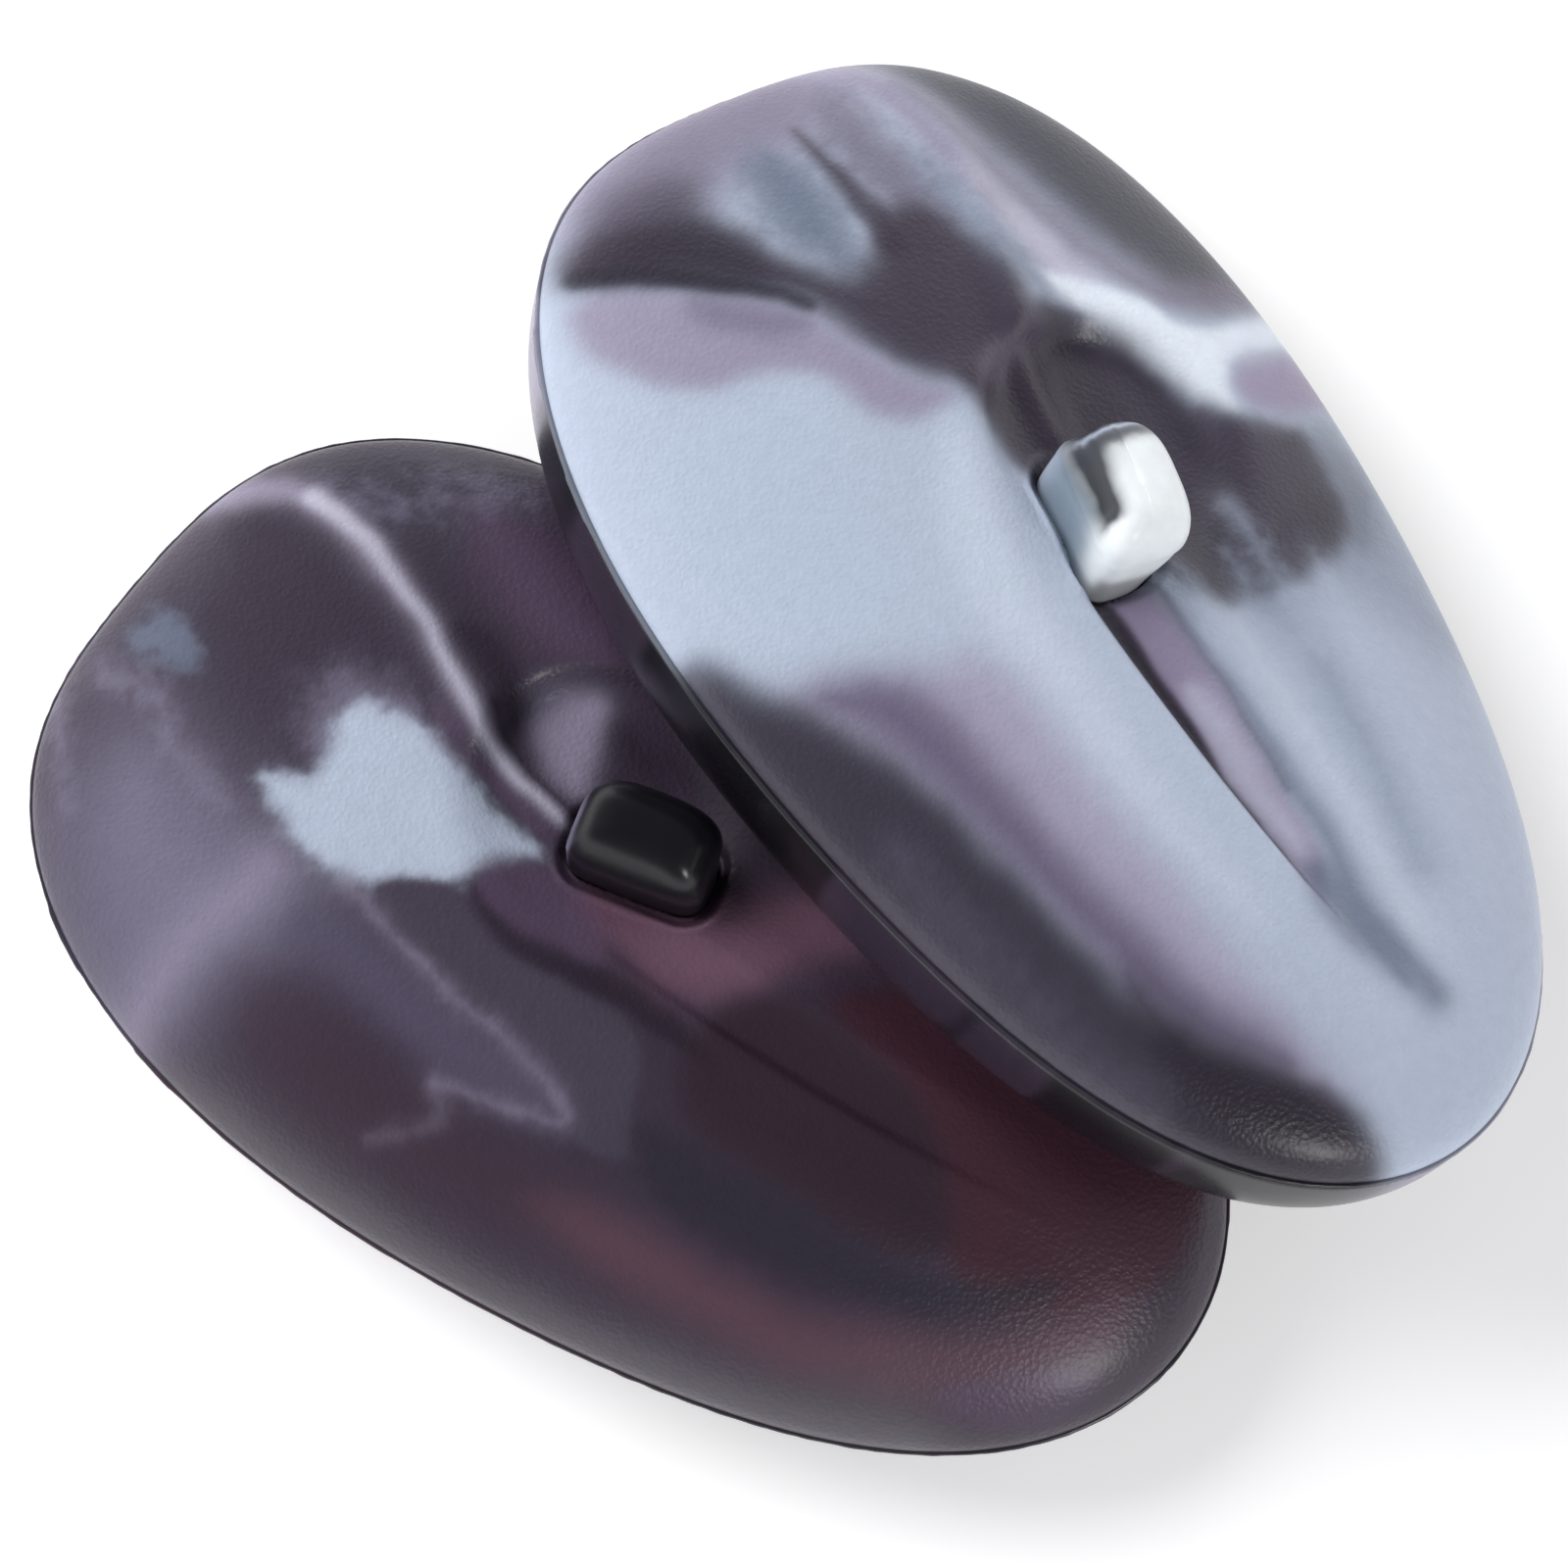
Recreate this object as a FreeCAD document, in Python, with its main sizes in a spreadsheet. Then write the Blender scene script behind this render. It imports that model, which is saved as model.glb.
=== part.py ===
import FreeCAD, Part
import Sketcher
import math
import os

# Two palm claves, struck together. Each is a hollow moulded egg: a sculpted front shell, a tray-shaped
# back shell, a thin weld bead between them, and a rubber finger tab screwed through the front shell.
# The left clave lies flat on its rest face; the right clave leans on it.
# Every clave is built in its own frame: +X from the wide end to the narrow end, +Z out of the front,
# seam plane at zero. "Near" is its -Y side and "far" its +Y side. Millimetres and degrees.

doc = FreeCAD.newDocument("palm_claves")
sheet = doc.addObject("Spreadsheet::Sheet", "Sizes")

# Alias, value, what it is.
SIZES = [
    ("half_length", 52.4, "centre of the egg to either end, before the egg terms"),
    ("half_width", 30.7, "centre of the egg to either long side"),
    ("egg_term", 0.046, "how much blunter one end is than the other"),
    ("flank_term", -0.023, "how much the four shoulders are drawn in"),
    ("skew_term", 0.012, "how much the egg leans to one side"),
    ("bead_thickness", 0.6, "weld bead, along the clave axis"),
    ("bead_proud", 0.3, "how far the weld bead stands out of the wall"),
    ("wall", 2.2, "wall of both shells"),
    ("crest_height", 9.2, "front shell at the crest, above the bead"),
    ("near_fall", 4.4, "drop of the front face from the crest to the near side"),
    ("far_fall", 3.4, "drop of the front face from the crest to the far side"),
    ("back_depth", 10.6, "back shell below the bead"),
    ("crest_offset", -0.8, "where the crest line crosses the short axis"),
    ("groove_depth", 2.4, "steep groove on the far side of the crest"),
    ("soft_groove_depth", 1.1, "second groove, further out"),
    ("wide_crest_height", 0.9, "soft crest towards the wide end"),
    ("pocket_along", -8.0, "pocket centre, along the clave"),
    ("pocket_across", 8.0, "pocket centre, across the clave"),
    ("pocket_half_length", 11.0, "pocket, along the clave"),
    ("pocket_half_width", 10.5, "pocket, across the clave"),
    ("pocket_depth", 3.4, "pocket below the face around it"),
    ("tab_length", 11.6, "finger tab, along the clave"),
    ("tab_foot", 6.2, "finger tab, across its foot"),
    ("tab_rise", 12.6, "finger tab, foot to crown"),
    ("tab_round", 1.9, "rounding of the tab's edges"),
    ("tab_play", 0.15, "gap round the tab foot in its socket"),
    ("tab_seat", 3.6, "socket floor above the bead"),
    ("boss_floor", 1.2, "underside of the tab boss above the bead"),
    ("boss_radius", 8.2, "tab boss inside the front shell"),
    ("stem_radius", 2.0, "tab stem"),
    ("pilot_radius", 1.1, "screw hole in the tab stem"),
    ("pilot_deep", 6.0, "depth of that hole"),
    ("washer_radius", 4.2, "tab washer"),
    ("washer_hole", 1.4, "radius of the hole in the washer"),
    ("washer_thick", 1.0, "tab washer"),
    ("shank_radius", 1.0, "screw shank"),
    ("shank_reach", 5.0, "shank length above the washer"),
    ("head_radius", 2.4, "screw head"),
    ("head_high", 1.6, "screw head"),
    ("left_table_x", -12.19, "left clave on the table"),
    ("left_table_y", -15.89, "left clave on the table"),
    ("left_turn", -36.4, "left clave, turn about the vertical"),
    ("left_tab_along", -2.3, "left tab, along the clave"),
    ("left_tab_across", 5.7, "left tab, across the clave"),
    ("left_tab_turn", 14.5, "left tab, turn about the clave axis"),
    ("left_tab_lean", 0.4, "how far the left tab's crown hooks past its foot"),
    ("right_table_x", 21.06, "right clave on the table"),
    ("right_table_y", 9.92, "right clave on the table"),
    ("right_height", 22.4, "seam centre of the right clave above the table"),
    ("right_turn", -58.3, "right clave, turn about the vertical"),
    ("right_tilt", 22.0, "right clave, lean away from the left one"),
    ("right_tilt_toward", 46.4, "direction of that lean on the table"),
    ("right_tab_along", -1.0, "right tab, along the clave"),
    ("right_tab_across", 2.9, "right tab, across the clave"),
    ("right_tab_turn", -8.6, "right tab, turn about the clave axis"),
    ("right_tab_lean", 3.0, "how far the right tab's crown hooks past its foot"),
]
for row, (alias, value, meaning) in enumerate(SIZES, start=1):
    sheet.set("A%d" % row, alias)
    sheet.set("B%d" % row, str(value))
    sheet.set("C%d" % row, meaning)
    sheet.setAlias("B%d" % row, alias)
doc.recompute()

# The same sizes as plain numbers, for the surfaces that are worked out in code.
S = {alias: float(sheet.get(alias)) for alias, value, meaning in SIZES}

RINGS = 40
COLUMNS = 96


def egg(theta):
    """Point of the egg outline at angle theta."""
    swell = 1.0 + S["egg_term"] * math.cos(3 * theta)
    swell += S["flank_term"] * math.cos(4 * theta)
    swell += S["skew_term"] * math.sin(2 * theta)
    return S["half_length"] * math.cos(theta) * swell, S["half_width"] * math.sin(theta) * swell


def outline(theta, grow):
    """Point of the egg outline moved outwards by grow."""
    x, y = egg(theta)
    ahead = egg(theta + 0.001)
    behind = egg(theta - 0.001)
    along_x = ahead[0] - behind[0]
    along_y = ahead[1] - behind[1]
    length = math.hypot(along_x, along_y)
    return x + grow * along_y / length, y - grow * along_x / length


def bump(distance, width):
    """Smooth hill of height 1 at distance 0, gone a few widths away."""
    return math.exp(-((distance / width) ** 2))


def step(distance, width):
    """Smooth step from 0 to 1 as distance passes 0."""
    return 0.5 + 0.5 * math.tanh(distance / width)


def front_height(x, y):
    """Height of the sculpted front above the bead, before the edge is rounded over."""
    crest = S["crest_offset"] + 0.0028 * (x - 3.0) ** 2
    aside = y - crest
    if aside < 0:
        level = S["crest_height"] - S["near_fall"] * (-aside / 30.0) ** 1.6
    else:
        level = S["crest_height"] - S["far_fall"] * (aside / 32.0) ** 2
    # The steep groove beside the crest, from the tab towards the narrow end.
    groove_run = step(x, 3.0) * step(34.0 - x, 7.0)
    groove_shape = step(aside - 0.6, 0.7) * (1.0 - step(aside - 5.0, 2.6))
    level -= S["groove_depth"] * groove_run * groove_shape
    # A second, soft groove beyond it.
    soft_run = step(x - 2.0, 6.0) * step(42.0 - x, 6.0)
    level -= S["soft_groove_depth"] * soft_run * bump(aside - 12.0 + 0.16 * x, 3.2)
    # The scooped pocket beside the tab.
    along = (x - S["pocket_along"]) / S["pocket_half_length"]
    across = (y - S["pocket_across"]) / S["pocket_half_width"]
    level -= S["pocket_depth"] * (1.0 - step(math.hypot(along, across) - 0.9, 0.16))
    # The soft crest from the pocket to the wide end, with a shallow valley past it.
    past = y - 2.3 + 0.25 * x
    wide_run = step(-14.0 - x, 4.0) * step(x + 44.0, 5.0)
    level += S["wide_crest_height"] * wide_run * (bump(past, 3.0) - bump(past - 6.0, 4.0))
    return level


def front_edge(theta):
    """How square the front face meets the wall: squarer on the near side."""
    return 3.0 + 3.4 * max(0.0, -math.sin(theta)) ** 1.5


BACK_SPARE = 0.5


def back_height(x, y):
    """Depth of the tray below the bead, a little deeper than the rest face that is cut on it."""
    return S["back_depth"] + BACK_SPARE


def back_edge(theta):
    """How square the tray meets its wall, the same all round."""
    return 20.0


def core(inset, height, edge, thinner):
    """Solid between the seam plane and one swept surface. Inset and thinner give the inner side."""
    rows = []
    for ring in range(RINGS + 1):
        rho = math.sin(0.5 * math.pi * ring / RINGS)
        row = []
        for column in range(COLUMNS):
            theta = 2.0 * math.pi * column / COLUMNS
            rim_x, rim_y = outline(theta, -inset)
            x = rho * rim_x
            y = rho * rim_y
            z = 0.0
            if ring < RINGS:
                z = (height(x, y) - thinner) * math.sqrt(1.0 - rho ** edge(theta))
            row.append(FreeCAD.Vector(x, y, z))
        rows.append(row)
    surface = Part.BSplineSurface()
    surface.buildFromPolesMultsKnots(
        rows,
        [4] + [1] * (RINGS - 3) + [4],
        [1] * (COLUMNS + 1),
        list(range(RINGS - 1)),
        list(range(COLUMNS + 1)),
        False,
        True,
        3,
        3,
    )
    dome = surface.toShape()
    rim = [line for line in dome.Edges if line.BoundBox.ZMax < 1e-6 and line.Length > 1.0]
    skin = Part.Shell([dome, Part.Face(Part.Wire(rim))])
    skin.sewShape()
    return Part.Solid(skin)


def ring_face(grow):
    """Flat egg at the seam plane, its outline moved outwards by grow."""
    poles = []
    for column in range(COLUMNS):
        x, y = outline(2.0 * math.pi * column / COLUMNS, grow)
        poles.append(FreeCAD.Vector(x, y, 0.0))
    curve = Part.BSplineCurve()
    curve.buildFromPolesMultsKnots(poles, [1] * (COLUMNS + 1), list(range(COLUMNS + 1)), True, 3)
    return Part.Face(Part.Wire(curve.toShape()))


def front_shell(side):
    """Sculpted front shell with the tab boss, its socket and the stem hole."""
    tab_x = S[side + "_tab_along"]
    tab_y = S[side + "_tab_across"]
    outer = core(0.0, front_height, front_edge, 0.0)
    hollow = core(S["wall"], front_height, front_edge, S["wall"])
    up = FreeCAD.Vector(0, 0, 1)
    boss_base = FreeCAD.Vector(tab_x, tab_y, S["boss_floor"])
    boss = Part.makeCylinder(S["boss_radius"], 20.0, boss_base, up)
    length = S["tab_length"] + 2 * S["tab_play"]
    width = S["tab_foot"] + 2 * S["tab_play"]
    socket = Part.makeBox(length, width, 20.0, FreeCAD.Vector(-length / 2, -width / 2, 0))
    uprights = [line for line in socket.Edges if line.BoundBox.ZLength > 1.0]
    socket = socket.makeFillet(S["tab_round"], uprights)
    socket.Placement = FreeCAD.Placement(
        FreeCAD.Vector(tab_x, tab_y, S["tab_seat"]), FreeCAD.Rotation(up, S[side + "_tab_turn"])
    )
    bore_base = FreeCAD.Vector(tab_x, tab_y, -1.0)
    bore = Part.makeCylinder(S["stem_radius"] + S["tab_play"], 20.0, bore_base, up)
    shape = outer.cut(hollow.cut(boss)).cut(socket).cut(bore)
    shape.translate(FreeCAD.Vector(0, 0, S["bead_thickness"] / 2))
    return shape


def back_shell():
    """Tray-shaped back shell with its flat rest face."""
    outer = core(0.0, back_height, back_edge, 0.0)
    hollow = core(S["wall"], back_height, back_edge, S["wall"] + BACK_SPARE)
    slab = Part.makeBox(160.0, 160.0, 10.0, FreeCAD.Vector(-80, -80, S["back_depth"]))
    shape = outer.cut(slab).cut(hollow)
    shape = shape.mirror(FreeCAD.Vector(0, 0, 0), FreeCAD.Vector(0, 0, 1))
    shape.translate(FreeCAD.Vector(0, 0, -S["bead_thickness"] / 2))
    return shape


def seam_bead():
    """Thin weld bead between the shells, standing slightly proud of the wall."""
    rise = FreeCAD.Vector(0, 0, S["bead_thickness"])
    outer = ring_face(S["bead_proud"]).extrude(rise)
    inner = ring_face(-S["wall"]).extrude(rise)
    shape = outer.cut(inner)
    shape.translate(FreeCAD.Vector(0, 0, -S["bead_thickness"] / 2))
    return shape


def origin_plane(body, role):
    """One of the body's own origin planes."""
    return [item for item in body.Origin.OriginFeatures if item.Role == role][0]


def new_sketch(body, name, role):
    """Empty sketch on one of the body's origin planes."""
    sketch = body.newObject("Sketcher::SketchObject", name)
    sketch.AttachmentSupport = [(origin_plane(body, role), "")]
    sketch.MapMode = "FlatFace"
    return sketch


def add_outline(sketch, corners):
    """Closed outline whose corners follow the sheet: each corner is a pair of expressions."""
    first = sketch.GeometryCount
    count = len(corners)
    for index in range(count):
        angle = 2.0 * math.pi * index / count
        following = 2.0 * math.pi * (index + 1) / count
        start = FreeCAD.Vector(4 * math.cos(angle), 4 * math.sin(angle), 0)
        end = FreeCAD.Vector(4 * math.cos(following), 4 * math.sin(following), 0)
        sketch.addGeometry(Part.LineSegment(start, end), False)
    for index in range(count):
        line = first + index
        sketch.addConstraint(
            Sketcher.Constraint("Coincident", line, 2, first + (index + 1) % count, 1)
        )
        for kind, expression in zip(("DistanceX", "DistanceY"), corners[index]):
            number = sketch.addConstraint(Sketcher.Constraint(kind, -1, 1, line, 1, 1.0))
            sketch.setExpression("Constraints[%d]" % number, expression)


def add_circle(sketch, radius):
    """Circle round the sketch origin, its radius following the sheet."""
    centre = FreeCAD.Vector(0, 0, 0)
    up = FreeCAD.Vector(0, 0, 1)
    number = sketch.addGeometry(Part.Circle(centre, up, 1.0), False)
    sketch.addConstraint(Sketcher.Constraint("Coincident", number, 3, -1, 1))
    held = sketch.addConstraint(Sketcher.Constraint("Radius", number, 1.0))
    sketch.setExpression("Constraints[%d]" % held, radius)


def finger_tab(side, label):
    """Hooked rubber tab: a leaning profile run along the clave, rounded, with a stem below."""
    body = doc.addObject("PartDesign::Body", label)
    body.Label = label
    profile = new_sketch(body, label + "_profile", "YZ_Plane")
    lean = "Sizes.%s_tab_lean" % side
    half = "Sizes.tab_foot / 2"
    rise = "Sizes.tab_rise"
    add_outline(
        profile,
        [
            ("-" + half, "0 mm"),
            (half, "0 mm"),
            (half, rise + " * 0.5"),
            (half + " + " + lean, rise + " - 1"),
            ("-" + half + " + 1.2 + %s * 0.4" % lean, rise),
            ("-" + half, rise + " * 0.45"),
        ],
    )
    block = body.newObject("PartDesign::Pad", label + "_block")
    block.Profile = profile
    block.Midplane = True
    block.setExpression("Length", "Sizes.tab_length")
    doc.recompute()
    crown = []
    for number, line in enumerate(block.Shape.Edges, start=1):
        bounds = line.BoundBox
        at_end = abs(bounds.XMin) > 0.4 * S["tab_length"] and bounds.XLength < 0.1
        at_top = bounds.ZMin > 0.8 * S["tab_rise"]
        if at_top or (at_end and bounds.ZMax > 0.1):
            crown.append("Edge%d" % number)
    rounding = body.newObject("PartDesign::Fillet", label + "_rounding")
    rounding.Base = (block, crown)
    rounding.setExpression("Radius", "Sizes.tab_round")
    doc.recompute()
    stem_sketch = new_sketch(body, label + "_stem_circle", "XY_Plane")
    add_circle(stem_sketch, "Sizes.stem_radius")
    stem = body.newObject("PartDesign::Pad", label + "_stem")
    stem.Profile = stem_sketch
    stem.Reversed = True
    stem.setExpression("Length", "Sizes.tab_seat - Sizes.boss_floor")
    pilot_sketch = new_sketch(body, label + "_pilot_circle", "XY_Plane")
    pilot_sketch.setExpression(
        "AttachmentOffset.Base.z", "Sizes.boss_floor - Sizes.tab_seat"
    )
    add_circle(pilot_sketch, "Sizes.pilot_radius")
    pilot = body.newObject("PartDesign::Pocket", label + "_pilot")
    pilot.Profile = pilot_sketch
    pilot.Reversed = True
    pilot.setExpression("Length", "Sizes.pilot_deep")
    doc.recompute()
    return body


def tab_washer(label):
    """Flat washer under the boss."""
    body = doc.addObject("PartDesign::Body", label)
    body.Label = label
    sketch = new_sketch(body, label + "_circles", "XY_Plane")
    add_circle(sketch, "Sizes.washer_radius")
    add_circle(sketch, "Sizes.washer_hole")
    disc = body.newObject("PartDesign::Pad", label + "_disc")
    disc.Profile = sketch
    disc.setExpression("Length", "Sizes.washer_thick")
    doc.recompute()
    return body


def tab_screw(label):
    """Pan-head screw, head down, turned about its own axis."""
    body = doc.addObject("PartDesign::Body", label)
    body.Label = label
    sketch = new_sketch(body, label + "_profile", "XZ_Plane")
    top = "Sizes.head_high + Sizes.washer_thick + Sizes.shank_reach"
    add_outline(
        sketch,
        [
            ("0 mm", "0 mm"),
            ("Sizes.head_radius", "0 mm"),
            ("Sizes.head_radius", "Sizes.head_high"),
            ("Sizes.shank_radius", "Sizes.head_high"),
            ("Sizes.shank_radius", top),
            ("0 mm", top),
        ],
    )
    turned = body.newObject("PartDesign::Revolution", label + "_turned")
    turned.Profile = sketch
    turned.ReferenceAxis = (sketch, ["V_Axis"])
    turned.Angle = 360
    doc.recompute()
    return body


def in_code(label, shape):
    """Object that holds a shape worked out in code."""
    item = doc.addObject("Part::Feature", label)
    item.Label = label
    item.Shape = shape
    return item


def clave_placement(side):
    """Where one clave lies: turned about the vertical, then tilted, then moved."""
    up = FreeCAD.Vector(0, 0, 1)
    turn = FreeCAD.Rotation(up, S[side + "_turn"])
    if side == "left":
        seat = S["back_depth"] + S["bead_thickness"] / 2
        return FreeCAD.Placement(FreeCAD.Vector(S["left_table_x"], S["left_table_y"], seat), turn)
    toward = math.radians(S["right_tilt_toward"])
    hinge = FreeCAD.Vector(-math.sin(toward), math.cos(toward), 0)
    tilt = FreeCAD.Rotation(hinge, S["right_tilt"])
    position = FreeCAD.Vector(S["right_table_x"], S["right_table_y"], S["right_height"])
    return FreeCAD.Placement(position, tilt.multiply(turn))


def tab_placement(side, z):
    """Frame of a tab piece inside its clave."""
    up = FreeCAD.Vector(0, 0, 1)
    position = FreeCAD.Vector(S[side + "_tab_along"], S[side + "_tab_across"], z)
    return FreeCAD.Placement(position, FreeCAD.Rotation(up, S[side + "_tab_turn"]))


bead_top = S["bead_thickness"] / 2
washer_level = bead_top + S["boss_floor"] - S["washer_thick"]
pieces = []
for side in ("left", "right"):
    home = clave_placement(side)
    for name, shape in (
        ("_front_shell", front_shell(side)),
        ("_back_shell", back_shell()),
        ("_seam_bead", seam_bead()),
    ):
        piece = in_code(side + name, shape)
        piece.Placement = home.multiply(piece.Placement)
        pieces.append(piece)
    for piece, z in (
        (finger_tab(side, side + "_finger_tab"), bead_top + S["tab_seat"]),
        (tab_washer(side + "_tab_washer"), washer_level),
        (tab_screw(side + "_tab_screw"), washer_level - S["head_high"]),
    ):
        piece.Placement = home.multiply(tab_placement(side, z))
        pieces.append(piece)
doc.recompute()

for item in doc.Objects:
    if "Invalid" in item.State or "Error" in item.State:
        raise RuntimeError("%s did not recompute" % item.Label)
for piece in pieces:
    if piece.Shape.isNull() or not piece.Shape.isValid():
        raise RuntimeError("%s has no valid shape" % piece.Label)
    if len(piece.Shape.Solids) != 1:
        raise RuntimeError("%s is not one solid" % piece.Label)

os.makedirs("parts", exist_ok=True)
for piece in pieces:
    piece.Shape.exportStep("parts/%s.step" % piece.Label)
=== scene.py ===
import math

import bpy
import numpy as np
from mathutils import Matrix, Vector


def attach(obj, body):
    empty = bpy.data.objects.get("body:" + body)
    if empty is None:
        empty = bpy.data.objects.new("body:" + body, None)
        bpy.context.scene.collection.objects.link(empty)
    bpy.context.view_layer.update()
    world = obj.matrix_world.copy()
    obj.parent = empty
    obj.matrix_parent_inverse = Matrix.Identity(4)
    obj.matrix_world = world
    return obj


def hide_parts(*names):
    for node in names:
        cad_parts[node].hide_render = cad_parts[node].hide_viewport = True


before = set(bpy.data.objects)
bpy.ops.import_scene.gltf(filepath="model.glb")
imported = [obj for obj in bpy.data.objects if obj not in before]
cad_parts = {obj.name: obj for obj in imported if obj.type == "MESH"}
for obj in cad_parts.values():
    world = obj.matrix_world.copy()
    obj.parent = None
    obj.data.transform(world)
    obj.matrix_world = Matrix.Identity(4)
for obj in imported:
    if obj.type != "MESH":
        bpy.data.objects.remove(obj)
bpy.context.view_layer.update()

MM = 0.001

# ---------------------------------------------------------------- sizes, as in the CAD part (mm, degrees)
HALF_LENGTH = 52.4
HALF_WIDTH = 30.7
EGG_TERM = 0.046
FLANK_TERM = -0.023
SKEW_TERM = 0.012
BEAD_THICKNESS = 0.6
BEAD_PROUD = 0.3
WALL = 2.2
CREST_HEIGHT = 9.2
NEAR_FALL = 4.4
FAR_FALL = 3.4
BACK_DEPTH = 10.6
BACK_SPARE = 0.5
BACK_SQUARE = 20

# Position of the seam centre, turn about the vertical, tilt, direction of the tilt.
PLACES = {
    "left": ((-12.19, -15.89, BACK_DEPTH + BEAD_THICKNESS / 2), -36.4, 0.0, 0.0),
    "right": ((21.06, 9.92, 22.4), -58.3, 22.0, 46.4),
}
# Finger tab: place along and across the clave, turn.
TABS = {
    "left": (-2.3, 5.7, 14.5),
    "right": (-1.6, 2.7, -12.0),
}
TAB_LENGTH = 11.6
TAB_FOOT = 6.2
TAB_RISE = 12.6
TAB_SEAT = 3.6
TAB_SHOULDER = 8.3
TAB_MIDDLE = 0.9
STEM_RADIUS = 2.0
STEM_LENGTH = 2.4


# ---------------------------------------------------------------- smooth helpers
def step(distance, width):
    """Smooth step from 0 to 1 as distance passes 0."""
    return 0.5 + 0.5 * np.tanh(distance / width)


def bump(distance, width):
    """Smooth hill of height 1 at distance 0."""
    return np.exp(-((distance / width) ** 2))


def lattice(ix, iy, seed):
    """Repeatable random numbers in 0..1 on whole-number points."""
    mixed = np.sin(ix * 127.1 + iy * 311.7 + seed * 74.7) * 43758.5453
    return mixed - np.floor(mixed)


def value_noise(x, y, seed):
    """Smooth noise in -1..1 with features about one unit wide."""
    ix = np.floor(x)
    iy = np.floor(y)
    fx = x - ix
    fy = y - iy
    fx = fx * fx * fx * (fx * (fx * 6 - 15) + 10)
    fy = fy * fy * fy * (fy * (fy * 6 - 15) + 10)
    low = lattice(ix, iy, seed) * (1 - fx) + lattice(ix + 1, iy, seed) * fx
    high = lattice(ix, iy + 1, seed) * (1 - fx) + lattice(ix + 1, iy + 1, seed) * fx
    return 2.0 * (low * (1 - fy) + high * fy) - 1.0


def layered_noise(x, y, seed, octaves=4):
    """Several octaves of value noise, roughly -1..1."""
    total = 0.0
    weight = 0.5
    for octave in range(octaves):
        scale = 2.0**octave
        total = total + weight * value_noise(x * scale, y * scale, seed + 17 * octave)
        weight *= 0.55
    return total


def line_distance(x, y, points):
    """Distance to an open line of points, and how far along it the nearest point is (0 to 1)."""
    best = np.full(x.shape, 1e9)
    place = np.zeros(x.shape)
    count = len(points) - 1
    for index in range(count):
        ax, ay = points[index]
        bx, by = points[index + 1]
        dx = bx - ax
        dy = by - ay
        t = np.clip(((x - ax) * dx + (y - ay) * dy) / (dx * dx + dy * dy), 0.0, 1.0)
        distance = np.hypot(x - ax - t * dx, y - ay - t * dy)
        nearer = distance < best
        best = np.where(nearer, distance, best)
        place = np.where(nearer, (index + t) / count, place)
    return best, place


def shape_distance(x, y, corners):
    """Signed distance to a closed outline, negative inside."""
    closed = list(corners) + [corners[0]]
    distance, _ = line_distance(x, y, closed)
    inside = np.zeros(x.shape, bool)
    for (ax, ay), (bx, by) in zip(closed[:-1], closed[1:]):
        if ay == by:
            continue
        crosses = (ay > y) != (by > y)
        inside ^= crosses & (x < (bx - ax) * (y - ay) / (by - ay) + ax)
    return np.where(inside, -distance, distance)


def rounded(points, passes=2):
    """The same open line with its corners cut, so that it runs smoothly."""
    for _ in range(passes):
        cut = [points[0]]
        for (ax, ay), (bx, by) in zip(points[:-1], points[1:]):
            cut.append((0.75 * ax + 0.25 * bx, 0.75 * ay + 0.25 * by))
            cut.append((0.25 * ax + 0.75 * bx, 0.25 * ay + 0.75 * by))
        cut.append(points[-1])
        points = cut
    return points


def rounded_loop(points, passes=2):
    """The same closed outline with its corners cut."""
    for _ in range(passes):
        cut = []
        for (ax, ay), (bx, by) in zip(points, points[1:] + points[:1]):
            cut.append((0.75 * ax + 0.25 * bx, 0.75 * ay + 0.25 * by))
            cut.append((0.25 * ax + 0.75 * bx, 0.25 * ay + 0.75 * by))
        points = cut
    return points


# ---------------------------------------------------------------- colours
def linear(code):
    """Linear colour from a six-digit screen colour."""
    values = np.array([int(code[i : i + 2], 16) for i in (0, 2, 4)]) / 255.0
    return np.where(values <= 0.04045, values / 12.92, ((values + 0.055) / 1.055) ** 2.4)


ICE = linear("abb5c7")
ICE_LIGHT = linear("bac4d3")
WHITE = linear("dde5ef")
LILAC_WHITE = linear("b8b2c4")
LILAC = linear("8c859b")
LILAC_DEEP = linear("5c546b")
LILAC_GREY = linear("655f72")
PINK_LILAC = linear("7f7389")
BLUE_GREY = linear("5f697c")
SLATE = linear("3a3843")
SLATE_MID = linear("3f3846")
SLATE_DARK = linear("272430")
PLUM = linear("352c3a")
PURPLE = linear("4c3d52")
PLUM_DARK = linear("221b26")
PLUM_RED = linear("3c232d")
RED_DARK = linear("321a22")
ROSE = linear("694c5e")
INK = linear("0f0d13")
PLATEAU_ICE = linear("abb7c8")
RIM_SLATE = linear("33323c")
DUSTY_LILAC = linear("706578")
HAZY_LILAC = linear("8a8197")
PALE_PINK = linear("8f829c")
GROOVE_PINK = linear("837790")
GROOVE_PALE = linear("b0afc3")
BAND_LILAC = linear("9790a6")
NEAR_PLUM = linear("2b2431")
HAZE = linear("747085")
SLATE_LILAC = linear("4e485c")
WARM_PLUM = linear("2c1f28")
DUSTY_ROSE = linear("6b4853")
BROWN_PLUM = linear("3b2c38")
PAINTED_RIM_SHEEN = linear("6c696f")
PALE_STREAK_AND_HIGHLIGHT = linear("b2b0c0")
TAB_BLACK = linear("121216")
TAB_WHITE = linear("e9eef0")
TAB_FIN = linear("7c8a98")
TAB_DARK = linear("23262d")
TAB_END = linear("33363f")


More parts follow.
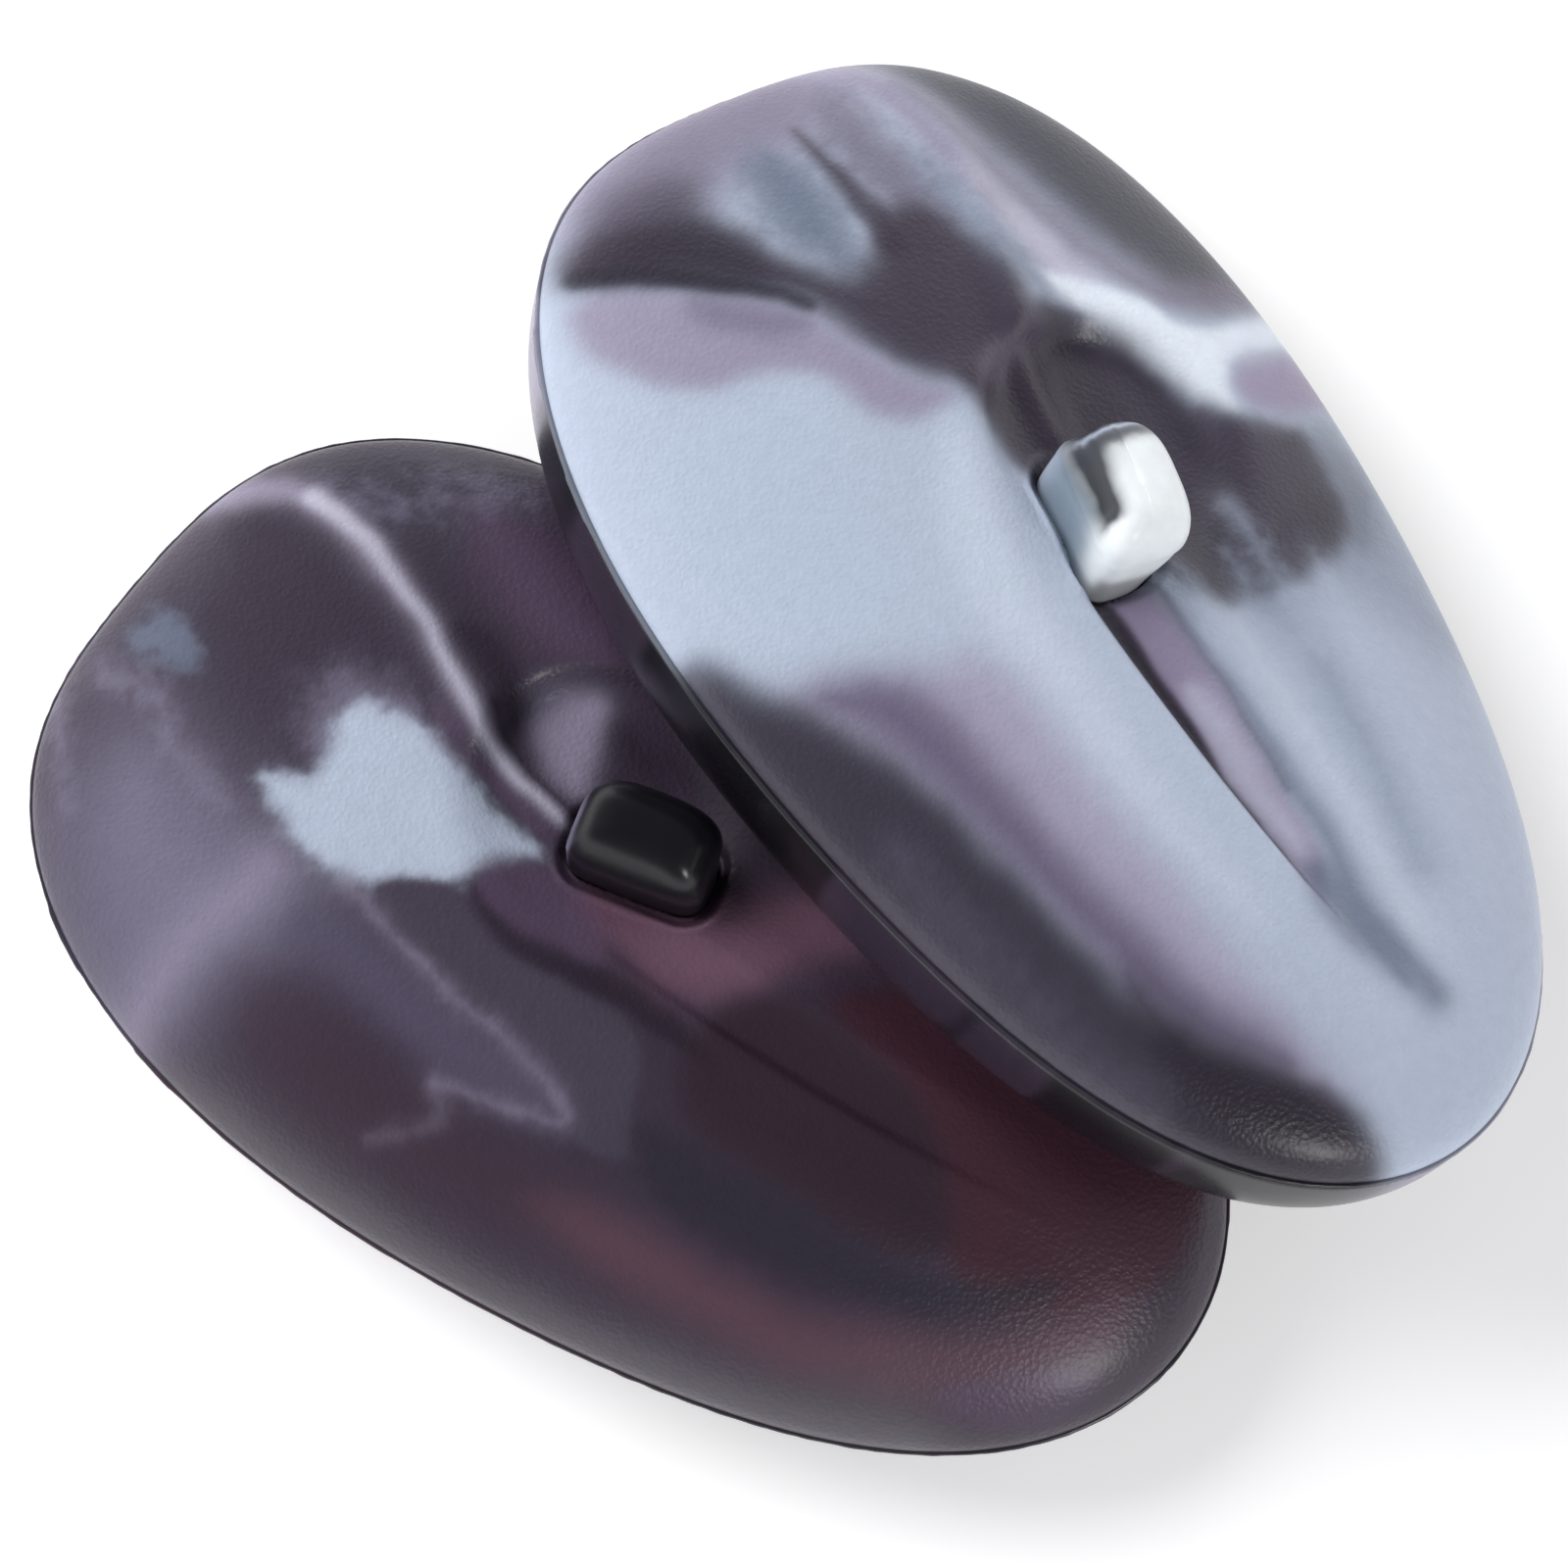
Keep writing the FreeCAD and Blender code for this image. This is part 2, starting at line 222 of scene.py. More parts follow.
# ---------------------------------------------------------------- the sculpted body
def egg(theta, grow=0.0):
    """Egg outline at angle theta, moved outwards by grow."""

    def raw(angle):
        swell = 1.0 + EGG_TERM * np.cos(3 * angle) + FLANK_TERM * np.cos(4 * angle)
        swell = swell + SKEW_TERM * np.sin(2 * angle)
        return HALF_LENGTH * np.cos(angle) * swell, HALF_WIDTH * np.sin(angle) * swell

    x, y = raw(theta)
    ahead_x, ahead_y = raw(theta + 0.001)
    behind_x, behind_y = raw(theta - 0.001)
    tx = ahead_x - behind_x
    ty = ahead_y - behind_y
    length = np.hypot(tx, ty)
    return x + grow * ty / length, y - grow * tx / length


WIDE_CREST = rounded([(-47, 8), (-42, 12.5), (-36, 13), (-30, 11), (-22, 8), (-15, 5.6), (-10, 4.8)])
SHELF_CREST = rounded([(-16, 0), (-12, -2.5), (-6, -5), (2, -6.8), (14, -7.4), (30, -6.2), (44, -3)])


def tab_frame(x, y, side):
    """The same places as seen from the tab: along it and across it."""
    along, across, turn = TABS[side]
    angle = math.radians(turn)
    dx = x - along
    dy = y - across
    return dx * math.cos(angle) + dy * math.sin(angle), dy * math.cos(angle) - dx * math.sin(angle)


def foot_distance(x, y, side):
    """Distance to the outline of the tab's foot, negative inside it."""
    u, v = tab_frame(x, y, side)
    corner = 1.9
    du = np.abs(u) - (TAB_LENGTH / 2 - corner)
    dv = np.abs(v) - (TAB_FOOT / 2 - corner)
    outside = np.hypot(np.maximum(du, 0.0), np.maximum(dv, 0.0))
    return outside + np.minimum(np.maximum(du, dv), 0.0) - corner


def front_height(x, y, side):
    """Height of the sculpted front above the bead, before the edge is rounded over."""
    crest = -0.8 + 0.0028 * (x - 3.0) ** 2
    aside = y - crest
    near = CREST_HEIGHT - NEAR_FALL * (np.abs(aside) / 30.0) ** 1.6
    far = CREST_HEIGHT - FAR_FALL * (aside / 32.0) ** 2
    level = np.where(aside < 0, near, far)
    # Steep groove beside the crest, shallower towards the narrow end.
    run = step(x - 0.5, 2.0) * step(33.0 - x, 6.0)
    beside = aside + 1.3
    shape = step(beside - 0.3, 0.45) * (1.0 - step(beside - 4.6, 1.7))
    strength = 1.0 if side == "right" else 0.3
    level = level - 2.3 * strength * run * shape
    # Fine edge beyond the groove.
    level = level + 0.35 * strength * step(x - 4.0, 2.0) * step(26.0 - x, 5.0) * bump(beside - 5.6, 0.8)
    # Second, soft groove.
    soft = step(x - 2.0, 6.0) * step(42.0 - x, 6.0)
    level = level - 1.1 * soft * bump(aside - 12.0 + 0.16 * x, 3.2)
    # Scooped pocket with a crisp rim on the wide side.
    reach = np.hypot((x + 8.0) / 11.0, (y - 8.0) / 10.5)
    crisp = 0.1 + 0.12 * step(x + 6.0, 4.0)
    if side == "left":
        crisp = crisp + 0.12 * step(4.0 - y, 2.0)
    level = level - 3.0 * (1.0 - step(reach - 0.92, crisp)) * (0.5 + 0.5 * step(y - 3.0, 3.0))
    # Crest from the pocket to the wide end, with a shallow valley past it.
    distance, place = line_distance(x, y, WIDE_CREST)
    level = level + 0.75 * bump(distance, 1.7) * step(place - 0.04, 0.05)
    past = y - 2.3 + 0.25 * x
    wide = step(-14.0 - x, 4.0) * step(x + 44.0, 5.0)
    level = level - 0.9 * wide * bump(past - 6.0, 4.0)
    # Low shelf on the near side of the crest.
    distance, place = line_distance(x, y, SHELF_CREST)
    level = level + 0.35 * bump(distance, 2.6) * step(0.92 - place, 0.08)
    # Socket for the tab: a thin lip of flash, a narrow gap, then down to the seat.
    gap = foot_distance(x, y, side)
    _, v = tab_frame(x, y, side)
    level = level + 0.3 * bump(gap - 1.0, 0.32) * step(-v - 1.5, 0.8)
    level = level - 0.8 * bump(gap - 0.25, 0.45)
    return level + (TAB_SEAT - level) * (1.0 - step(gap + 0.25, 0.18))


def front_edge(theta):
    """How square the front face meets the wall: squarer on the near side."""
    return 3.0 + 3.4 * np.maximum(0.0, -np.sin(theta)) ** 1.5


def sheet_points(rings, columns, inset, kind, side):
    """Points of one swept surface from its middle to the seam: arrays of x, y and z."""
    rho = np.sin(0.5 * np.pi * np.arange(rings + 1) / rings)[:, None]
    theta = (2.0 * np.pi * np.arange(columns) / columns)[None, :]
    rim_x, rim_y = egg(theta, -inset)
    x = rho * rim_x
    y = rho * rim_y
    if kind == "front":
        z = (front_height(x, y, side) - inset) * np.sqrt(np.maximum(0.0, 1.0 - rho ** front_edge(theta)))
        z = z + BEAD_THICKNESS / 2
    else:
        deep = BACK_DEPTH + BACK_SPARE - (inset + BACK_SPARE if inset else 0.0)
        z = deep * np.sqrt(np.maximum(0.0, 1.0 - rho**BACK_SQUARE)) * np.ones_like(x)
        z = -np.minimum(z, BACK_DEPTH) - BEAD_THICKNESS / 2
    return x, y, z


def clave_matrix(side):
    """Rest placement of one clave, in metres."""
    position, turn, tilt, toward = PLACES[side]
    lean = math.radians(toward)
    hinge = Vector((-math.sin(lean), math.cos(lean), 0.0))
    spin = Matrix.Rotation(math.radians(turn), 4, "Z")
    lie = Matrix.Rotation(math.radians(tilt), 4, hinge)
    return Matrix.Translation(Vector(position) * MM) @ lie @ spin


def to_world(points, side):
    """Local millimetres to frame metres."""
    place = np.array(clave_matrix(side))
    return points * MM @ place[:3, :3].T + place[:3, 3]


def mesh_object(name, points, faces, side):
    """Smooth-shaded object from local points and faces, riding on its clave."""
    mesh = bpy.data.meshes.new(name)
    mesh.from_pydata(to_world(points, side).tolist(), [], faces)
    mesh.update()
    mesh.polygons.foreach_set("use_smooth", [True] * len(mesh.polygons))
    item = bpy.data.objects.new(name, mesh)
    bpy.context.scene.collection.objects.link(item)
    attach(item, side + "_clave")
    return item


def shell_mesh(name, side, kind, rings, columns):
    """Closed hollow shell: outer sheet, inner sheet and the flat land between them."""
    ox, oy, oz = sheet_points(rings, columns, 0.0, kind, side)
    inner_rings = rings // 2
    ix, iy, iz = sheet_points(inner_rings, columns, WALL, kind, side)
    points = [np.array([[ox[0, 0], oy[0, 0], oz[0, 0]]])]
    points.append(np.stack([ox[1:], oy[1:], oz[1:]], -1).reshape(-1, 3))
    points.append(np.array([[ix[0, 0], iy[0, 0], iz[0, 0]]]))
    points.append(np.stack([ix[1:], iy[1:], iz[1:]], -1).reshape(-1, 3))
    points = np.concatenate(points)
    faces = []
    inner_start = 1 + rings * columns

    def add_sheet(start, count, outward):
        for column in range(columns):
            following = (column + 1) % columns
            a = start + 1 + column
            b = start + 1 + following
            faces.append((start, a, b) if outward else (start, b, a))
        for ring in range(count - 1):
            low = start + 1 + ring * columns
            high = low + columns
            for column in range(columns):
                following = (column + 1) % columns
                quad = (low + column, high + column, high + following, low + following)
                faces.append(quad if outward else quad[::-1])

    upward = kind == "front"
    add_sheet(0, rings, upward)
    add_sheet(inner_start, inner_rings, not upward)
    outer_rim = 1 + (rings - 1) * columns
    inner_rim = inner_start + 1 + (inner_rings - 1) * columns
    for column in range(columns):
        following = (column + 1) % columns
        quad = (
            outer_rim + column,
            inner_rim + column,
            inner_rim + following,
            outer_rim + following,
        )
        faces.append(quad if upward else quad[::-1])
    item = mesh_object(name, points, faces, side)
    return item, points


def ring_mesh(name, side, section, columns):
    """Closed band along the outline; section gives grow and height all round it for each angle."""
    theta = 2.0 * np.pi * np.arange(columns) / columns
    rows = []
    for grow, height in section(theta):
        x, y = egg(theta, grow)
        rows.append(np.stack([x, y, height * np.ones_like(x)], -1))
    count = len(rows)
    points = np.concatenate(rows)
    faces = []
    for row in range(count):
        following_row = (row + 1) % count
        for column in range(columns):
            following = (column + 1) % columns
            faces.append(
                (
                    row * columns + column,
                    row * columns + following,
                    following_row * columns + following,
                    following_row * columns + column,
                )
            )
    return mesh_object(name, points, faces, side), points


def bead_section(theta):
    """Double raised line with little nicks of flash."""
    wander = 0.5 + 0.5 * value_noise(40.0 * np.cos(theta), 40.0 * np.sin(theta), 7)
    nick = 0.12 * step(value_noise(9.0 * np.cos(theta), 9.0 * np.sin(theta), 11) - 0.72, 0.05)
    top = BEAD_PROUD * (0.75 + 0.25 * wander) + nick
    half = BEAD_THICKNESS / 2
    return [
        (-1.6, -half),
        (-0.05, -half),
        (0.7 * top, -half + 0.02),
        (top, -0.6 * half),
        (top, -0.35 * half),
        (0.35 * top, -0.1 * half),
        (0.35 * top, 0.1 * half),
        (top, 0.35 * half),
        (top, 0.6 * half),
        (0.7 * top, half - 0.02),
        (-0.05, half),
        (-1.6, half),
    ]


def tab_mesh(name, side):
    """Rounded hook: square foot with a stem, crown swelling over the far side, scooped near shoulder."""
    around = 2.0 * np.pi * np.arange(120) / 120
    c = np.cos(around)
    sn = np.sin(around)

    def loop(half_length, near, far, height):
        square = np.where(sn < 0, 5.0, 3.0)
        reach = (np.abs(c) ** square + np.abs(sn) ** square) ** (-1.0 / square)
        v = np.where(sn < 0, -near, far) * np.abs(sn) * reach
        return np.stack([half_length * c * reach, v, np.full(c.shape, height)], -1)

    def circle(radius, height):
        return np.stack([radius * c, radius * sn, np.full(c.shape, height)], -1)

    half = TAB_LENGTH / 2
    foot = TAB_FOOT / 2
    rings = [circle(STEM_RADIUS, -STEM_LENGTH), circle(STEM_RADIUS, -0.02)]
    rings += [loop(half - 0.35, foot - 0.35, foot - 0.35, 0.0), loop(half, foot, foot, 0.35)]
    shoulder = TAB_SHOULDER
    crown = 1.75 if side == "left" else 2.4
    for level in np.linspace(0.9, shoulder, 26):
        swell = crown * step(level - 5.6, 1.4)
        rings.append(loop(half, foot - 0.1 * swell, foot + swell, level))
    middle = TAB_MIDDLE
    for lift in np.linspace(4.0, 88.0, 34):
        angle = math.radians(lift)
        shrink = math.cos(angle) ** 0.72
        ends = math.cos(angle) ** 0.5
        ring = loop(half * ends, (foot - 0.17 + middle) * shrink, (foot + crown - middle) * shrink, 0.0)
        ring[:, 1] += middle
        ring[:, 2] = shoulder + (TAB_RISE - shoulder) * math.sin(angle)
        rings.append(ring)
    points = np.concatenate(rings)
    # Scoop along the near shoulder, from the wide end nearly to the other.
    u, v, w = points.T
    slope = np.arctan2(w - shoulder, np.maximum(middle - v, 0.01))
    depth = 0.25 if side == "left" else 1.2
    scoop = depth * bump(slope - 0.75, 0.5) * step(2.6 - u, 0.9)
    scoop = scoop * step(w - shoulder + 0.6, 0.5) * (v < middle)
    points = np.stack([u, v + 0.75 * scoop, w - 0.75 * scoop], -1)
    count = len(c)
    faces = [tuple(range(count - 1, -1, -1))]
    for ring in range(len(rings) - 1):
        for index in range(count):
            following = (index + 1) % count
            low = ring * count
            high = low + count
            faces.append((low + index, low + following, high + following, high + index))
    last = (len(rings) - 1) * count
    faces.append(tuple(range(last, last + count)))
    own = points.copy()
    along, across, turn = TABS[side]
    angle = math.radians(turn)
    placed = np.stack(
        [
            along + own[:, 0] * math.cos(angle) - own[:, 1] * math.sin(angle),
            across + own[:, 0] * math.sin(angle) + own[:, 1] * math.cos(angle),
            BEAD_THICKNESS / 2 + TAB_SEAT + own[:, 2],
        ],
        -1,
    )
    return mesh_object(name, placed, faces, side), own


def add_colours(item, colours, grain):
    """Stores the marbling and the grain mask on the mesh's points."""
    layer = item.data.color_attributes.new("marble", "FLOAT_COLOR", "POINT")
    rgba = np.ones((len(colours), 4), np.float32)
    rgba[:, :3] = colours
    layer.data.foreach_set("color", rgba.ravel())
    mask = item.data.attributes.new("grain", "FLOAT", "POINT")
    mask.data.foreach_set("value", np.asarray(grain, np.float32))


# ---------------------------------------------------------------- marbling
def lay(colours, amount, tint):
    """Blends a tint over the colours by amount."""
    return colours + amount[:, None] * (tint - colours)


def warped(x, y, seed):
    """The same place shifted a little by slow noise, for flowing edges."""
    shift_x = 0.7 * layered_noise(x / 7.0, y / 7.0, seed, 3)
    shift_y = 0.7 * layered_noise(x / 7.0, y / 7.0, seed + 5, 3)
    return x + shift_x, y + shift_y


class Marbling:
    """Colours of many points, with tints laid over a base one after another."""

    def __init__(self, x, y, seed, base):
        self.x, self.y = warped(x, y, seed)
        self.colours = np.tile(base, (x.size, 1))

    def lay(self, amount, tint):
        """Blends a tint over the colours by amount."""
        self.colours = lay(self.colours, amount, tint)

    def blot(self, corners, soft, tint, strength=1.0, feather=0.0, seed=1):
        """A pool of one tint with a soft edge; feather breaks the edge up."""
        distance = shape_distance(self.x, self.y, rounded_loop(list(corners)))
        if feather:
            distance = distance + feather * layered_noise(self.x / 1.6, self.y / 1.6, seed, 5)
        self.lay(strength * (1.0 - step(distance, soft)), tint)

    def streak(self, points, widths, soft, tint, strength=1.0, feather=0.0, seed=1):
        """A ribbon of one tint along a line, its half-width going from the first to the second value."""
        distance, place = line_distance(self.x, self.y, rounded(list(points)))
        half = widths[0] + (widths[1] - widths[0]) * place
        if feather:
            distance = distance + feather * layered_noise(self.x / 1.2, self.y / 1.2, seed, 5)
        self.lay(strength * (1.0 - step(distance - half, soft)), tint)


def right_marbling(x, y):
    """Ice white front with plum and slate run into it."""
    c = Marbling(x, y, 3, ICE)
    # Narrow end and far side: pale, with faint grey-blue bands.
    c.blot([(30, 6), (44, 8), (54, 2), (52, -5), (44, -2), (30, 0)], 3.0, ICE_LIGHT, 0.25)
    c.blot([(0, 30), (12, 30), (22, 26), (14, 20), (9, 14), (4, 20)], 3.0, BLUE_GREY, 0.5)
    c.blot([(12, 30), (30, 27), (48, 15), (40, 13), (24, 18), (12, 21)], 3.0, LILAC, 0.1)
    c.streak([(8, 12), (20, 12.5), (34, 10)], (1.6, 0.8), 2.0, BLUE_GREY, 0.5)
    c.streak([(10, 8), (24, 8), (38, 7)], (1.0, 0.6), 1.2, ICE_LIGHT, 0.6)
    c.streak([(6, 3.9), (22, 4.4), (36, 3.6), (43, 5)], (0.5, 1.4), 1.1, BLUE_GREY, 0.8)
    # Near plateau.
    c.blot([(-14, -2), (0, -5), (20, -7), (36, -4), (20, -9.5), (0, -12), (-10, -8)], 1.6, ICE_LIGHT, 0.8)
    c.blot([(-25, -11), (-8, -10), (0, -14), (-2, -22), (-8, -27), (-24, -28)], 2.0, PLATEAU_ICE, 0.8)
    # Wide end: grey lilac rim, lilac and blue-grey patches.
    c.blot([(-52, 12), (-44, 12), (-40, 2), (-40, -8), (-41, -20), (-52, -16)], 2.4, LILAC, 0.95)
    c.blot(
        [(-50, 7), (-43, 5), (-42, -4), (-40, -10), (-40, -20), (-46, -16), (-51, -6)],
        2.2, LILAC_GREY, 0.7,
    )
    c.blot([(-43, -8), (-38, -9), (-37, -20), (-42, -21), (-45, -15)], 1.8, SLATE_MID, 0.8)
    c.blot([(-45, 8), (-33, 9), (-27, 7), (-30, 3), (-42, 2)], 1.8, LILAC_GREY, 0.9, 1.0, 4)
    c.blot(
        [(-42, 0.5), (-33, 0.4), (-28, -3), (-32, -5.4), (-38, -6), (-42, -4)],
        1.5, BLUE_GREY, 0.95, 0.8, 5,
    )
    # Slate along the far rim of the wide end, lilac strip under it.
    c.blot(
        [(-50, 10), (-44, 12.6), (-32, 15.6), (-22, 18), (-14, 23), (-13, 33), (-32, 33), (-50, 22)],
        1.8, RIM_SLATE, 0.97,
    )
    c.streak(
        [(-42, 12.2), (-30, 14.6), (-21, 17), (-16, 20.5), (-14.5, 28)],
        (1.0, 1.5), 1.5, DUSTY_LILAC, 0.8,
    )
    # The long pale streak that turns up to the far rim.
    c.streak([(-48, 10), (-38, 10.8), (-30, 12)], (0.7, 1.2), 1.2, HAZY_LILAC, 0.9)
    c.streak([(-32, 11.7), (-27, 12.5), (-20, 14)], (0.5, 1.7), 1.2, LILAC_WHITE, 0.9)
    c.blot(
        [(-23, 11.5), (-18, 12.6), (-14, 15), (-8, 18), (-4.2, 20), (-8, 21), (-9.6, 23), (-9.8, 33),
         (-12.4, 33), (-12, 24), (-13, 20.5), (-17, 18)],
        0.6, WHITE, 0.95,
    )
    c.blot([(-9.4, 33), (-3, 33), (-3.4, 25), (-5, 21), (-9, 22)], 1.0, PALE_PINK, 0.9)
    # Blue haze under the streak.
    c.blot([(-34, 10.5), (-21, 12), (-19, 10), (-28, 7.6), (-38, 8)], 1.5, BLUE_GREY, 0.6, 1.2, 6)
    # Dark body of plum between the wide end and the pocket.
    c.blot(
        [(-30, 7.6), (-20, 10), (-13, 3), (-15, -0.6), (-19, -5), (-27, -7.6), (-30, -10), (-34, -15),
         (-39, -21.5), (-43, -20), (-41, -12), (-37, -7.6), (-31, -6), (-28, -3), (-31, 1), (-33, 4)],
        1.2, PLUM, 0.97, 0.2, 8,
    )
    c.blot([(-44, 1.9), (-37, 2.8), (-28, 3.4), (-28, 0), (-34, 0.6), (-39, 1.2)], 0.6, PLUM, 0.9)
    c.blot([(-41, -12), (-36, -8), (-31, -8), (-30, -10), (-34, -15), (-39, -21)], 1.4, SLATE_DARK, 0.6)
    # Lilac between its crisp border and the plateau.
    c.blot(
        [(-38.5, -21.5), (-33.5, -15), (-29.6, -10), (-26, -7.4), (-18, -4.6), (-15, -1), (-14.6, -5),
         (-16.5, -9), (-22, -10), (-24.6, -13), (-25, -18), (-29, -22), (-35, -24)],
        0.9, LILAC, 0.92,
    )
    c.blot([(-34, -15), (-29, -10), (-26, -8), (-26, -11), (-31, -16)], 0.9, LILAC_DEEP, 0.5)
    c.streak(
        [(-39.8, -20.4), (-34.7, -14.5), (-30.6, -9.8), (-27.6, -7.8)],
        (1.0, 0.6), 0.4, SLATE_DARK, 0.85,
    )
    # The pocket and the dark pool beyond the tab.
    c.blot(
        [(-20, 11), (-20, 5), (-18, 1), (-15, -1), (-6, 0), (2, 4), (7, 6), (9.5, 9), (10, 16), (9, 21),
         (5, 24), (-2, 25), (-3.4, 23), (-5, 19.4), (-12, 16.4), (-16, 14.6)],
        0.8, PLUM, 0.97, 0.2, 9,
    )
    c.blot([(-19.4, 8), (-18.4, 3), (-16, 1), (-14.6, 3), (-16.4, 7), (-17.6, 10.4)], 0.9, PINK_LILAC, 0.4)
    c.blot([(-16, 14), (-8, 16.4), (0, 17.6), (2, 15), (-8, 13.4)], 1.0, SLATE_DARK, 0.5)
    c.blot([(-18, 8), (-16, 2), (-8, 0.4), (-5, 8), (-9, 13), (-16, 12)], 1.6, PLUM_DARK, 0.5)
    c.blot([(-2, 30), (8, 27), (10, 22), (3, 22), (-3, 24)], 1.6, SLATE, 0.5, 1.0, 10)
    c.blot([(3, 22), (8, 22), (8.5, 16), (5, 16)], 1.5, SLATE_DARK, 0.5)
    wisps = (((1, 14), (14, 12.6)), ((5, 11), (14, 9.6)), ((8, 17.6), (16, 17)), ((4, 6.4), (12, 6)))
    for wisp in wisps:
        c.streak(wisp, (0.1, 1.5), 1.2, ICE, 0.5, 0.7, 12)
    # Groove: dark core of painted shade, pink slope, grey tail of painted shade where the groove runs out.
    c.blot([(3, 3.4), (3, -1.4), (28, -0.4), (35, 1), (29, 3.2), (14, 3.5)], 0.5, GROOVE_PINK, 0.9)
    c.blot([(13, 0.2), (28, 0.4), (31, 1.6), (26, 3), (13, 2.8)], 0.7, GROOVE_PALE, 0.8)
    # Grey tail: painted shade at the end of the groove.
    c.blot([(29, 0.6), (36, -0.2), (44, 3.5), (38, 4.4), (30, 3.4)], 1.0, BLUE_GREY, 0.8)
    # Dark core along the groove's steep side: painted shade.
    c.blot(
        [(2, 0.4), (2, -2.4), (12, -1.9), (24, -0.9), (34, 0.4), (24, 0.1), (12, 0.3)],
        0.3, PLUM_DARK, 0.95,
    )
    c.streak([(3, 3.6), (12, 3.5), (24, 3.8)], (0.25, 0.15), 0.4, SLATE, 0.6)
    # Lilac band, then the dark plum near rim.
    c.blot(
        [(4, -11), (20, -10), (36, -8), (49, -5), (46, -9), (40, -13), (32, -17), (18, -20), (6, -23),
         (-1, -28), (-1, -23), (3, -16)],
        2.0, BAND_LILAC, 0.9,
    )
    c.blot(
        [(4, -17), (18, -15.4), (32, -13), (44, -7), (40, -13), (32, -17), (18, -20), (6, -22), (-1, -26),
         (0, -21)],
        1.6, LILAC_DEEP, 0.95,
    )
    c.blot(
        [(-10, -31), (-4, -27.5), (2, -24.6), (8, -21.6), (20, -19.4), (30, -17.4), (38, -13.8),
         (45, -7.2), (48.5, -4.6), (56, -4.4), (54, -16), (40, -26), (20, -32), (0, -34)],
        1.0, NEAR_PLUM, 0.97, 0.12, 14,
    )
    # Faint lilac-grey streak across the dark near rim: painted sheen, a reflection of the bright
    # surroundings.
    c.streak([(14, -26), (28, -23.6), (40, -18.4)], (1.1, 0.8), 1.6, LILAC_GREY, 0.25, 1.2, 15)
    c.blot([(28, -17), (38, -13), (46, -7), (52, -5), (50, -12), (42, -17)], 1.4, PLUM_DARK, 0.8)
    return c.colours


